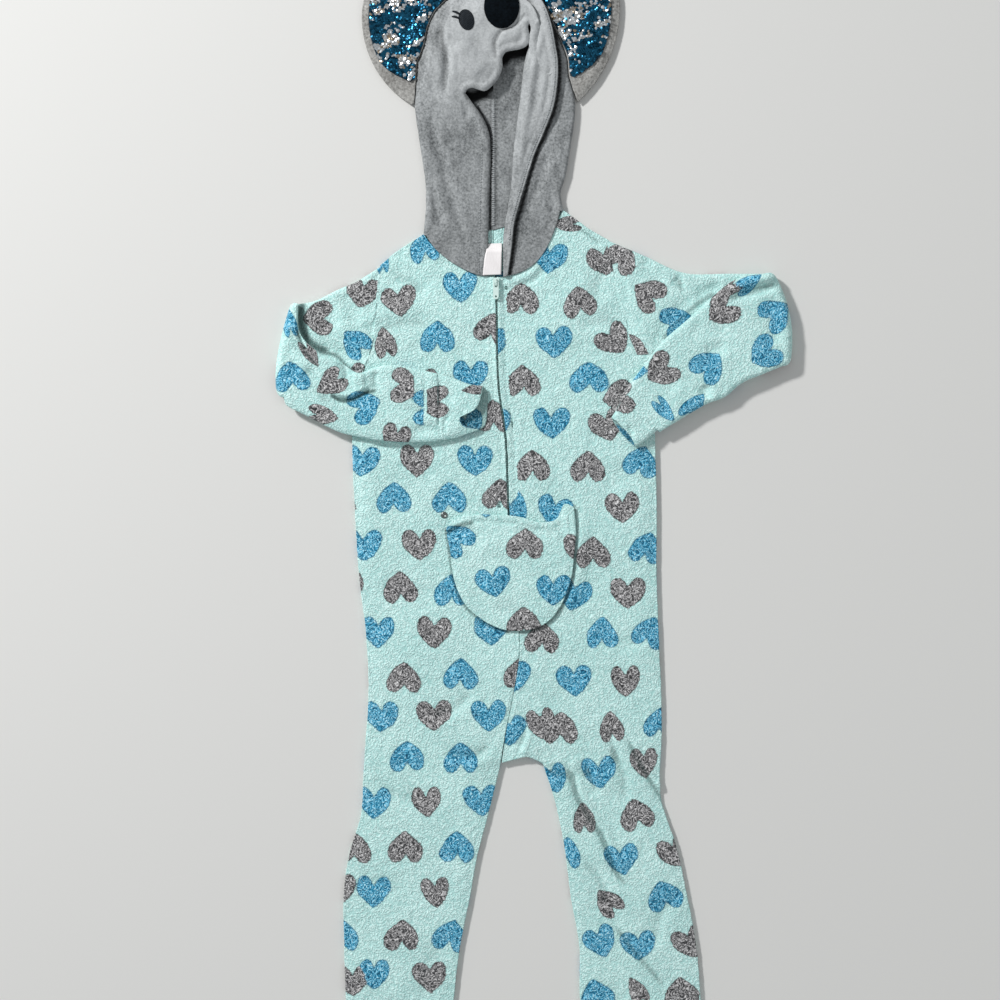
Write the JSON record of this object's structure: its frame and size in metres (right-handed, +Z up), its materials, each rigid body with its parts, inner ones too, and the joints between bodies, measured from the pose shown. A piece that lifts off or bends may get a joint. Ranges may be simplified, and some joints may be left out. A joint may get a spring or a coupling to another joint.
{
  "type": "hooded onesie pajama",
  "caption": "Child's hooded plush onesie laid flat: zip front, sleeves folded over the chest, pouch pocket, hood with animal face and sequin ears.",
  "frame": {"origin": "on the surface it lies on, under the middle of the laid-out garment", "axes": "+Y towards the hood, +X to the right of someone looking down at the front, +Z up"},
  "size_m": [0.6452, 1.4814, 0.0216],
  "materials": {
    "mint_plush": "pale mint sherpa plush with blue and grey hearts",
    "grey_plush": "mid grey velboa plush",
    "dark_applique": "near-black navy applique",
    "sequins": "two-sided sequins, deep blue and silver",
    "zip_tape": "woven polyester tape",
    "enamelled_metal": "pale mint enamel",
    "snap_metal": "grey plated metal",
    "label_satin": "white satin ribbon, bare"
  },
  "bodies": {
    "garment": {"back_left": "mint_plush", "back_right": "mint_plush", "front_left": "mint_plush", "front_right": "mint_plush", "sleeve_left": "mint_plush", "sleeve_right": "mint_plush", "cuff_left": "mint_plush", "cuff_right": "mint_plush", "pocket": "mint_plush", "hood_left": "grey_plush", "hood_right": "grey_plush", "ear_left_back": "grey_plush", "ear_left_front": "grey_plush", "ear_right_back": "grey_plush", "ear_right_front": "grey_plush", "ear_left_sequins": "sequins", "ear_right_sequins": "sequins", "eye_left": "dark_applique", "eye_right": "dark_applique", "nose": "dark_applique", "zip_tape_left": "zip_tape", "zip_tape_right": "zip_tape", "snap": "snap_metal", "zip_slider": "enamelled_metal", "neck_label": "label_satin"},
    "pull_tab": {"zip_pull_tab": "enamelled_metal"}
  },
  "joints": [
    {"name": "pull_tab_hinge", "type": "hinge", "parent": "garment", "child": "pull_tab", "pos_m": [-0.0433, 0.316, 0.0115], "axis": [-1, 0, 0], "range_deg": [0, 160]}
  ]
}
